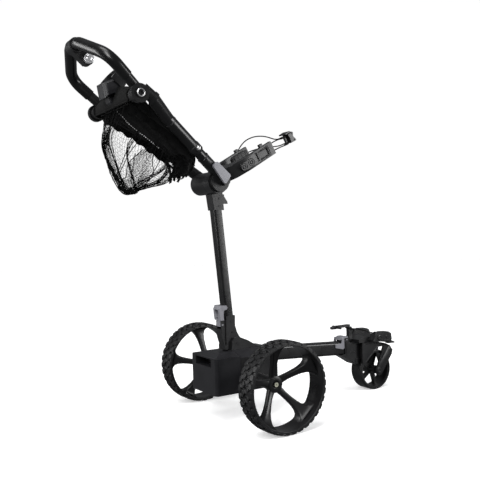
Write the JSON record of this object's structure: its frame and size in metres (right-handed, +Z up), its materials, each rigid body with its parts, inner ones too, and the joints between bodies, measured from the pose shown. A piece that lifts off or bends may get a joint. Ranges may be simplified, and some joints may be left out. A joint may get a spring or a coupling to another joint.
{
  "type": "electric golf trolley",
  "caption": "Folding three-wheeled powered trolley for a golf bag, with bag cradles, rear battery box, fold-down post, twin-arm handle and loop grip.",
  "frame": {"origin": "on the ground, at the middle of the footprint", "axes": "+X forward (towards the front wheel), +Y to the trolley's left, +Z up"},
  "size_m": [1.2065, 0.591, 1.1785],
  "materials": {
    "rubber": "matt moulded rubber",
    "black_plastic": "fine grained",
    "case_plastic": "satin grained",
    "black_tube": "satin powder coat",
    "grey_plastic": "fine grained",
    "black_steel": "black oxide",
    "steel": "turned",
    "bolt": "bright plated",
    "grip": "soft foam grip",
    "fabric": "woven",
    "cell": "shrink sleeve",
    "board": "solder mask",
    "dial": "satin"
  },
  "bodies": {
    "chassis": {"main_tube": "black_tube", "lower_housing": "black_plastic", "upper_housing": "case_plastic", "hinge_cover": "black_plastic", "post_hinge_pin": "black_steel", "controller_board": "board", "gear_motor_right": "steel", "gear_motor_left": "steel", "axle_tube_right": "black_tube", "axle_tube_left": "black_tube", "axle_bearings": "steel", "front_bracket": "black_plastic", "front_hinge_pin": "black_steel"},
    "battery": {"battery_case": "case_plastic", "battery_cells": "cell", "battery_board": "board"},
    "wheel_right": {"tyre_right": "rubber", "rim_right": "black_plastic", "hub_bolt_right": "bolt", "axle_shaft_right": "steel"},
    "wheel_left": {"tyre_left": "rubber", "rim_left": "black_plastic", "hub_bolt_left": "bolt", "axle_shaft_left": "steel"},
    "post": {"post_tube": "black_tube", "lower_bracket": "black_plastic", "upper_collar": "black_plastic", "barrel_pin": "steel", "post_screws": "black_steel", "upper_cradle": "black_plastic", "cradle_pads": "grip", "bag_clip": "black_plastic", "upper_bungee": "fabric", "second_bungee": "fabric"},
    "latch": {"lower_latch": "grey_plastic"},
    "trigger": {"fold_trigger": "black_plastic"},
    "handle_frame": {"drum_right": "black_plastic", "drum_left": "black_plastic", "arm_right": "black_tube", "arm_left": "black_tube", "pivot_bolts": "black_steel", "cross_tube": "black_tube", "console_base": "case_plastic", "console_hood": "black_plastic", "fabric_panel": "fabric", "net_basket": "fabric"},
    "lever": {"barrel_lever": "grey_plastic"},
    "loop": {"loop_tube": "black_tube", "loop_grip": "grip", "control_pod": "black_plastic"},
    "dial": {"speed_dial": "dial"},
    "fork": {"front_fork": "black_plastic", "front_axle": "black_steel", "lower_cradle": "black_plastic", "strap_toggle": "black_plastic", "lower_bungee": "fabric"},
    "front_latch": {"front_latch": "grey_plastic"},
    "front_wheel": {"front_tyre": "rubber", "front_rim": "black_plastic"}
  },
  "joints": [
    {"name": "wheel_right_spin", "type": "hinge", "parent": "chassis", "child": "wheel_right", "pos_m": [-0.065, 0, 0.14], "axis": [0, 1, 0], "continuous": true},
    {"name": "wheel_left_spin", "type": "hinge", "parent": "chassis", "child": "wheel_left", "pos_m": [-0.065, 0, 0.14], "axis": [0, 1, 0], "continuous": true},
    {"name": "front_fold", "type": "hinge", "parent": "chassis", "child": "fork", "pos_m": [0.44, 0, 0.118], "axis": [0, 1, 0], "range_deg": [0, 100]},
    {"name": "front_wheel_spin", "type": "hinge", "parent": "fork", "child": "front_wheel", "pos_m": [0.528, 0, 0.0747], "axis": [0, 1, 0], "continuous": true},
    {"name": "front_latch_lift", "type": "hinge", "parent": "chassis", "child": "front_latch", "pos_m": [0.399, 0, 0.2], "axis": [0, 1, 0], "range_deg": [0, 25], "stiffness_Nm_per_rad": 0.15, "springref_deg": -17.19},
    {"name": "post_fold", "type": "hinge", "parent": "chassis", "child": "post", "pos_m": [-0.079, 0, 0.244], "axis": [0, 1, 0], "range_deg": [0, 60]},
    {"name": "lower_latch_turn", "type": "hinge", "parent": "post", "child": "latch", "pos_m": [-0.125, 0, 0.306], "axis": [0, -1, 0], "range_deg": [0, 14], "stiffness_Nm_per_rad": 0.4, "springref_deg": -17.19},
    {"name": "fold_trigger_pull", "type": "hinge", "parent": "post", "child": "trigger", "pos_m": [-0.105, 0, 0.722], "axis": [0, -1, 0], "range_deg": [0, 10], "stiffness_Nm_per_rad": 0.1, "springref_deg": -17.19},
    {"name": "handle_fold", "type": "hinge", "parent": "post", "child": "handle_frame", "pos_m": [-0.15, 0, 0.766], "axis": [0, -1, 0], "range_deg": [0, 80]},
    {"name": "lever_open", "type": "hinge", "parent": "handle_frame", "child": "lever", "pos_m": [-0.139, -0.094, 0.768], "axis": [0, 1, 0], "range_deg": [0, 60]},
    {"name": "loop_tilt", "type": "hinge", "parent": "handle_frame", "child": "loop", "pos_m": [-0.459, 0, 1], "axis": [0, -1, 0], "range_deg": [0, 40]},
    {"name": "dial_turn", "type": "hinge", "parent": "loop", "child": "dial", "pos_m": [-0.547, -0.022, 1.121], "axis": [0, 1, 0], "range_deg": [0, 270]},
    {"name": "battery_slide", "type": "slide", "parent": "chassis", "child": "battery", "axis": [-1, 0, 0], "range_m": [0, 0.1]}
  ]
}
